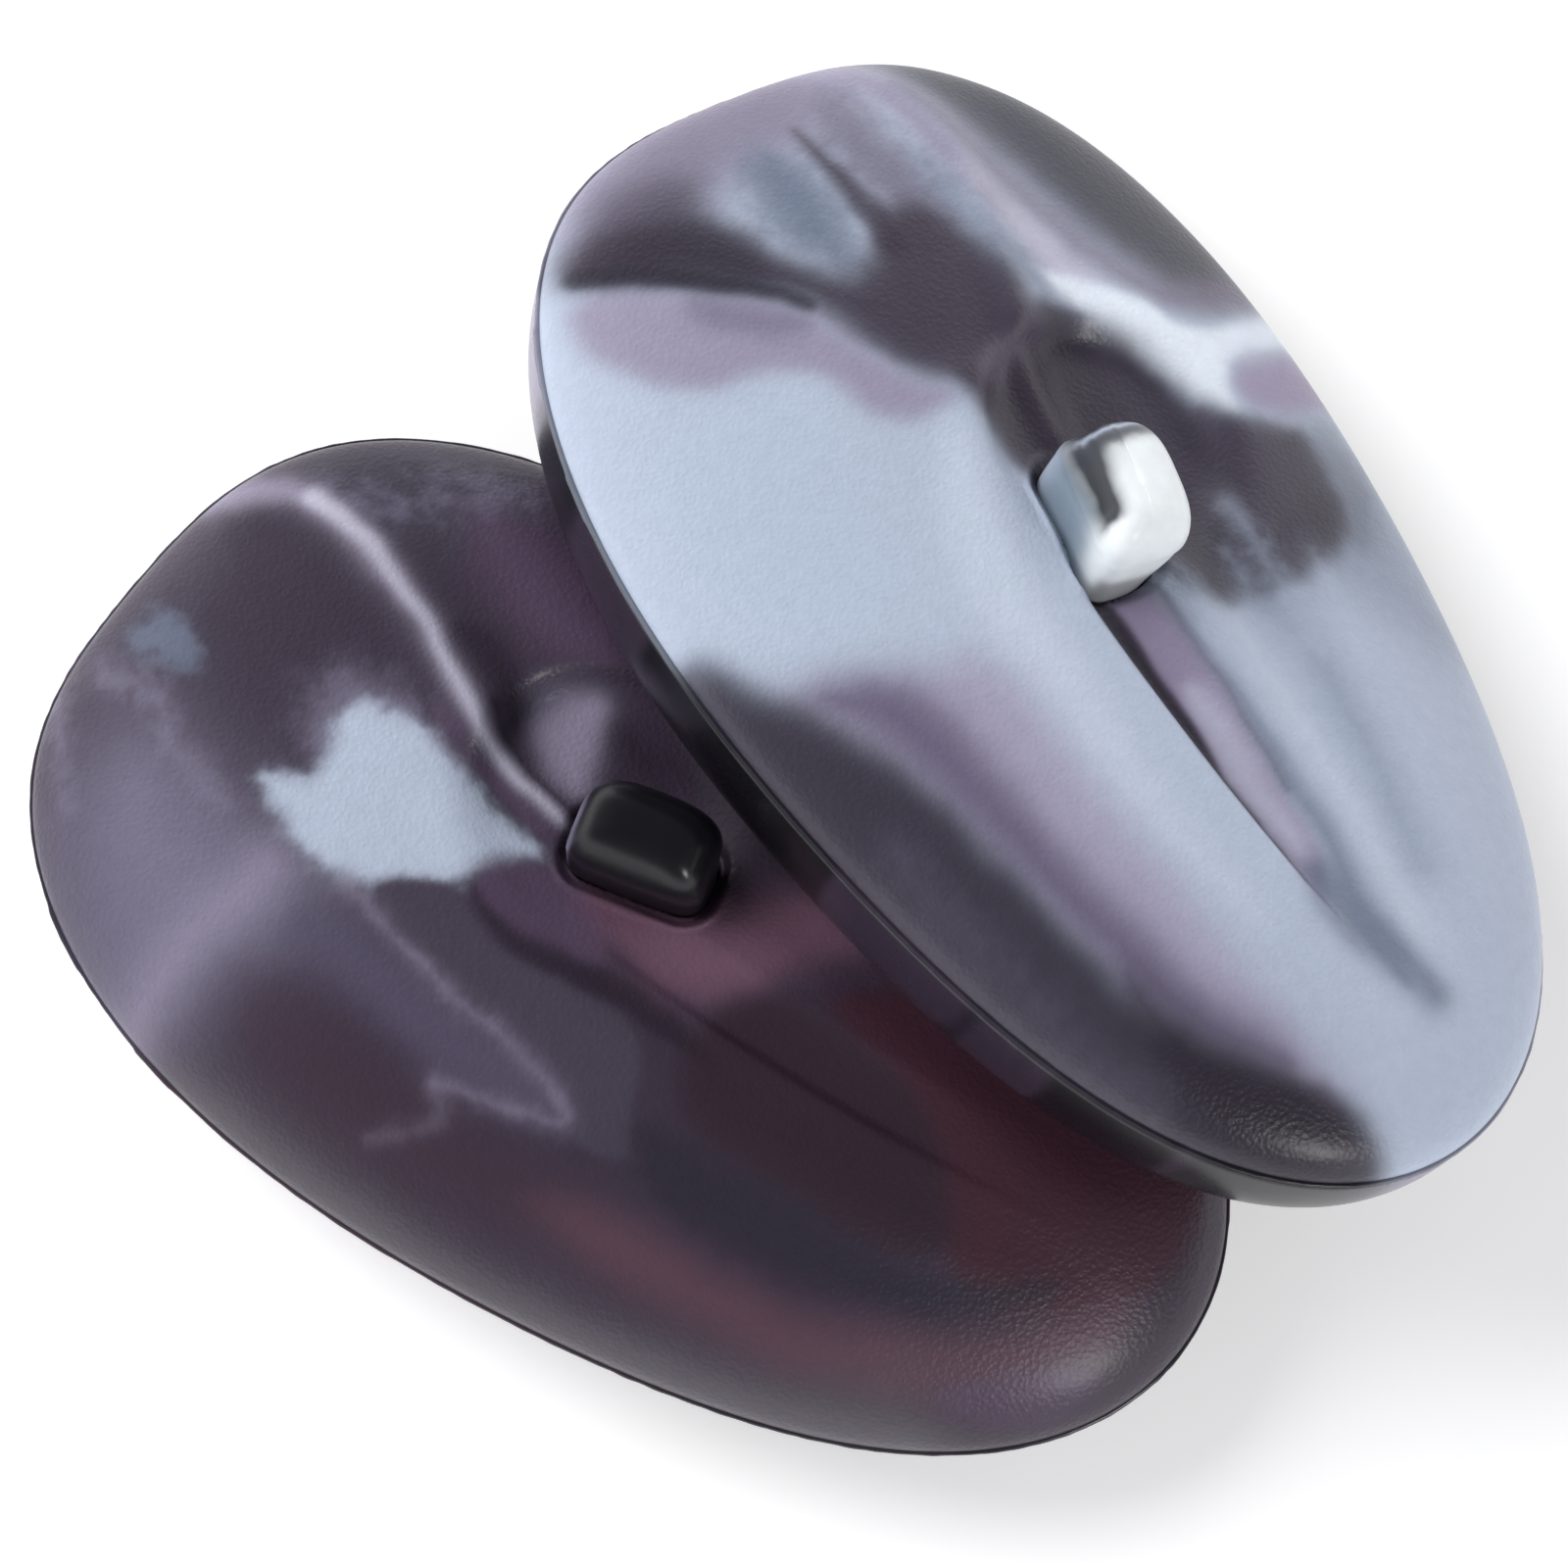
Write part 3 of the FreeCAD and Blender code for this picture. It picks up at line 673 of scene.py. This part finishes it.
def left_marbling(x, y):
    """Plum front with ice white and slate run into it."""
    c = Marbling(x, y, 23, PLUM)
    # Far side of the wide end.
    c.blot([(-46, 14), (-36, 24), (-26, 27), (-27, 20), (-34, 14)], 3.0, SLATE, 0.9, 1.0, 31)
    wisps = (((-38, 17), (-29, 21.5)), ((-34, 22), (-27, 24)), ((-41, 15), (-35, 17)))
    for wisp in wisps:
        c.streak(wisp, (0.3, 0.9), 1.1, LILAC_GREY, 0.5, 1.8, 32)
    c.blot([(-31, 20), (-22, 14.6), (-12, 15), (-12, 19), (-24, 23)], 2.0, PURPLE, 0.9)
    # Wide end wisps.
    c.blot([(-50, 10), (-45, 10), (-42.6, 0), (-43, -10), (-50, -8)], 1.8, SLATE_MID, 0.9, 1.5, 33)
    c.blot([(-45, 0), (-41, 0), (-40, -3), (-43, -4.5), (-46, -3)], 0.8, BLUE_GREY, 0.75, 1.3, 34)
    c.streak([(-46, -7), (-41, -6), (-38, -8.4), (-32, -10)], (1.0, 0.5), 1.1, LILAC_GREY, 0.9, 1.3, 35)
    c.streak([(-48, -11), (-44.6, -14), (-42, -17)], (0.7, 0.4), 0.9, LILAC_GREY, 0.7, 1.3, 41)
    # Lilac haze below the white patch, with a lighter upright band.
    c.blot(
        [(-43, -8), (-30, -10), (-20, -12), (-22, -17), (-26, -30), (-41, -22)],
        4.5, HAZE, 0.85,
    )
    c.streak([(-26, -12), (-27.4, -20), (-27, -29)], (2.0, 1.4), 2.2, LILAC, 0.7)
    # Soft lilac round the white patch, then the patch.
    c.blot([(-31, 5), (-22, 5), (-16, 2.5), (-20, -1), (-28, -4), (-31, 0)], 1.4, LILAC_GREY, 0.9, 1.2, 36)
    c.blot(
        [(-31, -6.2), (-27, -4.4), (-28, -1), (-28.6, 3), (-23, 4), (-18, 2.9), (-14, 1.9), (-8.5, 1.5),
         (-11.6, -1.5), (-12.8, -4.5), (-16, -6.5), (-19, -9), (-22.6, -9.8), (-27, -8.2)],
        0.7, ICE, 0.95, 0.7, 37,
    )
    # Slate zone with its crisp far and narrow borders.
    c.blot(
        [(-20, -9), (-13, -4.8), (-8, -6.2), (0, -5.8), (5.4, -5), (8.4, -9.5), (11.4, -14.6), (4, -15),
         (-10, -14)],
        0.4, SLATE_MID, 0.95,
    )
    c.blot(
        [(-22, -11), (-8, -12.4), (6, -13.4), (2, -16), (-8, -17.4), (-22, -16)],
        1.6, SLATE_LILAC, 0.9,
    )
    c.streak(
        [(-20, -9.4), (-14, -11), (-6, -11.6), (1, -12.2), (6.4, -14), (1, -15.8), (-5, -17.8)],
        (0.3, 0.2), 0.8, LILAC, 0.5, 0.5, 38,
    )
    c.streak([(-5, -17.8), (-3, -19.4), (-3.6, -21), (-6.4, -24)], (0.5, 0.2), 0.8, LILAC, 0.45, 0.5, 39)
    # Purple pool above the slate zone with a dark lower edge.
    c.blot([(-12.6, -1.6), (-9, 1), (-3, 0.6), (0, -2), (-1, -5), (-8, -5.4), (-12, -4)], 0.8, PURPLE, 0.85)
    c.blot(
        [(-13, -3.4), (-9, -4.6), (-3, -4), (2, -2.6), (8, -2.4), (13, -4), (8, -4.8), (2, -5), (-3, -6),
         (-9, -5.9)],
        0.5, PLUM_DARK, 0.85,
    )
    # Rose pool running up beside the tab, then the deep red.
    c.blot(
        [(-6, 1.4), (3, 4.6), (8, 10), (13, 14), (18, 13), (12, 6), (9.6, 0), (4, -1.6), (-1, -0.6)],
        1.5, ROSE, 0.95,
    )
    c.blot(
        [(16, 6), (20, 10), (24, 13), (46, 14), (51, 6), (47, -2), (38, -8), (31, -1), (25, 3.4),
         (17, 4.4)],
        0.8, PLUM_RED, 0.95,
    )
    c.blot([(26, 10), (42, 11), (44, 4), (36, 2), (28, 5)], 3.0, RED_DARK, 0.4)
    c.blot(
        [(10, 3), (17, 4.6), (26, 3.6), (32, -0.6), (36, -6), (26, -9.4), (13, -9.6), (9, -6)],
        0.9, WARM_PLUM, 0.8,
    )
    c.blot(
        [(11.4, -15), (9, -9.6), (20, -9.4), (36, -7.4), (44, -0.6), (42, -6), (34, -11.4), (22, -15.4)],
        0.9, SLATE_DARK, 0.85, 0.6, 40,
    )
    # Lighter reddish band, purple patch, dark near rim.
    c.blot(
        [(10, -17.6), (24, -16.6), (36, -12.4), (44, -6), (48.5, 2), (50, -3), (46, -11), (36, -18),
         (20, -21.6), (4, -22)],
        1.6, DUSTY_ROSE, 0.42,
    )
    c.blot([(40, -13), (49, -5), (51, -6), (48, -12), (42, -15)], 0.8, PURPLE, 0.8)
    c.blot([(-22, -18), (-6, -18), (8, -18), (8, -24), (-10, -27), (-20, -25)], 2.2, BROWN_PLUM, 0.6)
    # Grey on the near rim: painted sheen, a reflection of the bright surroundings.
    c.blot(
        [(-24, -27), (-8, -28.4), (12, -27), (30, -21), (42, -14), (46, -22), (20, -36), (-24, -36)],
        2.6, PAINTED_RIM_SHEEN, 0.4,
    )
    # Lighter pocket floor, dark behind the tab.
    c.blot([(-18, 12), (-13, 15.4), (-10.6, 11), (-9, 7), (-12, 6.4), (-16, 9)], 1.0, LILAC, 0.95)
    c.blot([(-26, 11.6), (-19, 9.6), (-16, 8), (-18.6, 12), (-24, 13.6)], 0.8, PLUM_DARK, 0.7)
    c.blot([(-11, 14), (0, 15), (8, 14), (6, 11), (-4, 12), (-10, 11.6)], 1.4, PLUM_DARK, 0.6)
    # The pale streak on the crest: part marbling, part painted highlight along the crest line.
    line = [
        (-48, 9.6), (-45, 12.6), (-41, 13.9), (-36, 13.6), (-30, 12), (-25, 9.8), (-20, 7.4), (-15, 5.3),
        (-9, 4.7),
    ]
    c.streak(line, (1.2, 0.35), 0.9, LILAC, 0.8)
    c.streak(line[2:], (0.8, 0.25), 0.5, PALE_STREAK_AND_HIGHLIGHT, 0.9)
    c.streak([(-19, 9), (-15.6, 6.7), (-12, 5.9), (-9, 5.7)], (0.3, 0.15), 0.35, PLUM_DARK, 0.8)
    c.streak([(-22, 5.6), (-15, 3.7), (-9, 3.2)], (0.5, 0.7), 0.5, PURPLE, 0.7)
    return c.colours


def right_wall(x, y):
    """Wall and back of the right clave: near black plum, pale at the wide end (part marbling, part painted
    highlight) and at the narrow end.
    """
    c = Marbling(x, y, 61, INK)
    slow = layered_noise(c.x / 18.0, c.y / 9.0, 63, 4)
    c.lay(0.8 * step(slow - 0.3, 0.05), PLUM)
    # Pale lilac patch on the wall at the wide end: part marbling, part painted highlight where the wall
    # faces the light.
    c.blot(
        [(-60, -14), (-42, -10), (-33, -16), (-32, -24), (-34, -36), (-60, -36)],
        1.2, LILAC, 0.9, 1.0, 64,
    )
    c.blot([(-60, -16), (-47, -14), (-44, -6), (-46, 2), (-60, 2)], 1.2, SLATE_DARK, 0.8)
    c.blot([(52, -4), (52, 2), (49, 10), (34, 26), (60, 28), (60, -6)], 1.4, LILAC, 0.8)
    return c.colours


def left_wall(x, y):
    """Wall and back of the left clave: dark plum, with painted highlights: lilac grey at the wide end and a
    rosy edge light along the near side.
    """
    c = Marbling(x, y, 51, PLUM_DARK)
    slow = layered_noise(c.x / 18.0, c.y / 9.0, 53, 4)
    c.lay(0.8 * step(slow - 0.26, 0.05), PLUM)
    # Lilac grey at the wide end: painted highlight, the rim's soft grey reflection of the bright
    # surroundings.
    c.blot([(-60, -12), (-44, -10), (-44, 6), (-60, 8)], 1.6, LILAC_GREY, 0.8, 1.0, 54)
    # Rose along the near side: painted edge light, the pink glow and reflection along the bottom edge.
    c.blot([(-30, -36), (-28, -27), (0, -28), (30, -26), (34, -36)], 2.0, ROSE, 0.6, 1.0, 55)
    return c.colours


def tab_tint(side, own):
    """Colour of a finger tab in its own frame."""
    u, v, w = own.T
    if side == "left":
        c = np.tile(TAB_BLACK, (u.size, 1))
        # Pale lilac-grey strip on the tab's wide end face: painted highlight where the rounded end catches
        # the light.
        return lay(c, 0.85 * step(-u - 5.35, 0.12) * step(w - 4.0, 1.0) * step(2.5 - v, 1.0), LILAC_GREY)
    wave = 0.5 * layered_noise(u / 2.2, (v + w) / 2.2, 71, 4)
    c = np.tile(TAB_WHITE, (u.size, 1))
    near = step(-v - 1.6 + 0.2 * wave, 0.3) * step(9.6 - w + 0.15 * u, 0.4)
    near = near * step(4.0 - u - 0.35 * (w - 4.0), 1.3)
    face = TAB_FIN + (0.8 * step(-u - 4.2, 0.9))[:, None] * (ICE - TAB_FIN)
    c = c + near[:, None] * (face - c)
    slope = np.arctan2(w - TAB_SHOULDER, np.maximum(TAB_MIDDLE - v, 0.01))
    wide = 0.42 + 0.045 * np.maximum(0.0, -u)
    band = bump((slope - 0.72 + 0.1 * wave) / wide, 1.0) * step(2.9 - u + wave, 0.7)
    band = band * step(w - 8.0, 0.4) * (v < TAB_MIDDLE)
    c = lay(c, np.clip(1.3 * band, 0.0, 0.97), TAB_DARK)
    end = step(-u - 3.0 + 1.1 * wave - 0.12 * (v - 1.0), 0.45) * step(w - 7.4, 0.7) * step(v + 2.0, 0.6)
    c = lay(c, 0.95 * end, TAB_END)
    c = lay(c, 0.7 * bump(-u - 4.7 + 1.3 * wave, 0.3) * step(w - 9.4, 0.6), ICE)
    return lay(c, 0.6 * step(u - 5.2, 0.3) * step(6.0 - w, 0.5), PLUM)


MARBLING = {"left": left_marbling, "right": right_marbling}
WALLS = {"left": left_wall, "right": right_wall}


# ---------------------------------------------------------------- materials
def node_tree(name):
    """New node material and its main shader."""
    material = bpy.data.materials.new(name)
    material.use_nodes = True
    nodes = material.node_tree.nodes
    return material, nodes, material.node_tree.links, nodes["Principled BSDF"]


def link(links, source, output, target, socket):
    """Joins an output of one node to a socket of another."""
    links.new(source.outputs[output], target.inputs[socket])


def marbled_material(name, roughness, coat, grain_depth):
    """Satin moulding: stored marbling, fine mottling, leather grain where the mask says."""
    material, nodes, links, shader = node_tree(name)
    place = nodes.new("ShaderNodeTexCoord")
    colour = nodes.new("ShaderNodeAttribute")
    colour.attribute_name = "marble"
    mottle = nodes.new("ShaderNodeTexNoise")
    mottle.inputs["Scale"].default_value = 900.0
    mottle.inputs["Detail"].default_value = 6.0
    link(links, place, "Object", mottle, "Vector")
    shade = nodes.new("ShaderNodeMapRange")
    shade.inputs["From Min"].default_value = 0.3
    shade.inputs["From Max"].default_value = 0.7
    shade.inputs["To Min"].default_value = 0.97
    shade.inputs["To Max"].default_value = 1.03
    link(links, mottle, "Fac", shade, "Value")
    tint = nodes.new("ShaderNodeVectorMath")
    tint.operation = "SCALE"
    link(links, colour, "Color", tint, 0)
    link(links, shade, "Result", tint, "Scale")
    link(links, tint, "Vector", shader, "Base Color")
    # Leather grain.
    mask = nodes.new("ShaderNodeAttribute")
    mask.attribute_name = "grain"
    cells = nodes.new("ShaderNodeTexVoronoi")
    cells.inputs["Scale"].default_value = 2300.0
    link(links, place, "Object", cells, "Vector")
    fine = nodes.new("ShaderNodeTexNoise")
    fine.inputs["Scale"].default_value = 3600.0
    fine.inputs["Detail"].default_value = 3.0
    link(links, place, "Object", fine, "Vector")
    both = nodes.new("ShaderNodeMath")
    both.operation = "ADD"
    link(links, cells, "Distance", both, 0)
    link(links, fine, "Fac", both, 1)
    masked = nodes.new("ShaderNodeMath")
    masked.operation = "MULTIPLY"
    link(links, both, "Value", masked, 0)
    link(links, mask, "Fac", masked, 1)
    relief = nodes.new("ShaderNodeBump")
    relief.inputs["Strength"].default_value = 0.55
    relief.inputs["Distance"].default_value = grain_depth
    link(links, masked, "Value", relief, "Height")
    link(links, relief, "Normal", shader, "Normal")
    # Slightly uneven gloss.
    wear = nodes.new("ShaderNodeTexNoise")
    wear.inputs["Scale"].default_value = 120.0
    wear.inputs["Detail"].default_value = 4.0
    link(links, place, "Object", wear, "Vector")
    gloss = nodes.new("ShaderNodeMapRange")
    gloss.inputs["To Min"].default_value = roughness - 0.05
    gloss.inputs["To Max"].default_value = roughness + 0.07
    link(links, wear, "Fac", gloss, "Value")
    link(links, gloss, "Result", shader, "Roughness")
    shader.inputs["IOR"].default_value = 1.45
    shader.inputs["Specular IOR Level"].default_value = 0.35
    shader.inputs["Coat Weight"].default_value = coat
    shader.inputs["Coat Roughness"].default_value = 0.22
    return material


def plain_material(name, colour, roughness, scale, metallic=0.0):
    """Moulded or metal surface with fine mottling and a faint bump."""
    material, nodes, links, shader = node_tree(name)
    place = nodes.new("ShaderNodeTexCoord")
    noise = nodes.new("ShaderNodeTexNoise")
    noise.inputs["Scale"].default_value = scale
    noise.inputs["Detail"].default_value = 5.0
    link(links, place, "Object", noise, "Vector")
    ramp = nodes.new("ShaderNodeValToRGB")
    ramp.color_ramp.elements[0].position = 0.3
    ramp.color_ramp.elements[0].color = (*[0.8 * v for v in colour], 1.0)
    ramp.color_ramp.elements[1].position = 0.7
    ramp.color_ramp.elements[1].color = (*colour, 1.0)
    link(links, noise, "Fac", ramp, "Fac")
    link(links, ramp, "Color", shader, "Base Color")
    relief = nodes.new("ShaderNodeBump")
    relief.inputs["Strength"].default_value = 0.3
    relief.inputs["Distance"].default_value = 0.00004
    link(links, noise, "Fac", relief, "Height")
    link(links, relief, "Normal", shader, "Normal")
    shader.inputs["Roughness"].default_value = roughness
    shader.inputs["Metallic"].default_value = metallic
    return material


front_finish = marbled_material("grained_marble", 0.36, 0.12, 0.00007)
back_finish = marbled_material("smooth_marble", 0.26, 0.2, 0.00003)
steel_finish = plain_material("fixing_steel", (0.55, 0.55, 0.57), 0.35, 1500.0, 1.0)
tab_finish = marbled_material("tab_rubber", 0.3, 0.1, 0.00002)


# ---------------------------------------------------------------- pieces
RINGS = 190
COLUMNS = 720


def dress(item, colours, grain, finish, node):
    """Colours a new piece and puts it in place of its CAD node."""
    add_colours(item, colours, np.full(len(colours), grain))
    item.data.materials.append(finish)
    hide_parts(node)


for side in ("left", "right"):
    skin, points = shell_mesh(side + "_front_skin", side, "front", RINGS, COLUMNS)
    colours = MARBLING[side](points[:, 0], points[:, 1])
    dress(skin, colours, 1.0, front_finish, side + "_front_shell")
    tray, points = shell_mesh(side + "_back_skin", side, "back", 70, COLUMNS)
    colours = WALLS[side](points[:, 0], points[:, 1])
    dress(tray, colours, 0.1, back_finish, side + "_back_shell")
    line, points = ring_mesh(side + "_seam_line", side, bead_section, COLUMNS)
    inner = MARBLING[side](0.97 * points[:, 0], 0.97 * points[:, 1])
    outer = WALLS[side](points[:, 0], points[:, 1])
    # The seam line takes the colours on either side at 0.6 of their brightness: painted shade along the
    # seam between the shells.
    dress(line, 0.3 * inner + 0.3 * outer, 0.0, back_finish, side + "_seam_bead")
    tab, own = tab_mesh(side + "_tab_hook", side)
    dress(tab, tab_tint(side, own), 0.3, tab_finish, side + "_finger_tab")

for name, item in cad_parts.items():
    if name.endswith("_tab_washer") or name.endswith("_tab_screw"):
        item.data.materials.clear()
        item.data.materials.append(steel_finish)


# ---------------------------------------------------------------- floor, light and camera
def area_light(name, position, target, size, power, glossy):
    """Soft round light aimed at a point; glossy says whether it shows in reflections."""
    lamp = bpy.data.lights.new(name, "AREA")
    lamp.shape = "DISK"
    lamp.size = size
    lamp.energy = power
    lamp.color = (1.0, 1.0, 1.0)
    item = bpy.data.objects.new(name, lamp)
    item.location = position
    aim = Vector(target) - Vector(position)
    item.rotation_euler = aim.to_track_quat("-Z", "Y").to_euler()
    item.visible_glossy = glossy
    bpy.context.scene.collection.objects.link(item)


FLOOR_REACH = 3.0
floor_mesh = bpy.data.meshes.new("floor")
floor_corners = [(x * FLOOR_REACH, y * FLOOR_REACH, 0) for x, y in ((-1, -1), (1, -1), (1, 1), (-1, 1))]
floor_mesh.from_pydata(floor_corners, [], [(0, 1, 2, 3)])
floor = bpy.data.objects.new("floor", floor_mesh)
bpy.context.scene.collection.objects.link(floor)
pale_floor = plain_material("pale_floor", (0.97, 0.97, 0.97), 0.9, 3.0)
floor_shader = pale_floor.node_tree.nodes["Principled BSDF"]
floor_shader.inputs["Emission Color"].default_value = (1.0, 1.0, 1.0, 1.0)
floor_shader.inputs["Emission Strength"].default_value = 0.3
floor_mesh.materials.append(pale_floor)

world = bpy.data.worlds.new("studio")
world.use_nodes = True
sky = world.node_tree.nodes
direction = sky.new("ShaderNodeTexCoord")
split = sky.new("ShaderNodeSeparateXYZ")
link(world.node_tree.links, direction, "Generated", split, "Vector")
ramp = sky.new("ShaderNodeValToRGB")
ramp.color_ramp.elements[0].position = 0.0
ramp.color_ramp.elements[0].color = (1.0, 1.0, 1.0, 1.0)
ramp.color_ramp.elements[1].position = 1.0
ramp.color_ramp.elements[1].color = (0.06, 0.06, 0.065, 1.0)
for position, level in ((0.22, 0.58), (0.5, 0.13)):
    stop = ramp.color_ramp.elements.new(position)
    stop.color = (level, level, 1.04 * level, 1.0)
link(world.node_tree.links, split, "Z", ramp, "Fac")
link(world.node_tree.links, ramp, "Color", sky["Background"], "Color")
sky["Background"].inputs["Strength"].default_value = 2.1
bpy.context.scene.world = world
area_light("key", (-0.62, 0.48, 0.66), (0, 0, 0), 0.9, 11.5, False)
area_light("fill", (0.45, -0.62, 0.6), (0, 0, 0), 0.25, 2.9, True)

bpy.context.scene.view_settings.view_transform = "Standard"

TARGET = Vector((0.29, -2.21, 10.0)) * MM
ELEVATION = math.radians(79.7)
DISTANCE = 0.7
FRAME_WIDTH = 124.03 * MM
lens = bpy.data.cameras.new("camera")
lens.sensor_width = 36.0
lens.lens = 36.0 * DISTANCE / FRAME_WIDTH
lens.clip_start = 0.01
camera = bpy.data.objects.new("camera", lens)
away = Vector((0.0, -math.cos(ELEVATION), math.sin(ELEVATION)))
camera.location = TARGET + DISTANCE * away
camera.rotation_euler = (-away).to_track_quat("-Z", "Y").to_euler()
bpy.context.scene.collection.objects.link(camera)
bpy.context.scene.camera = camera
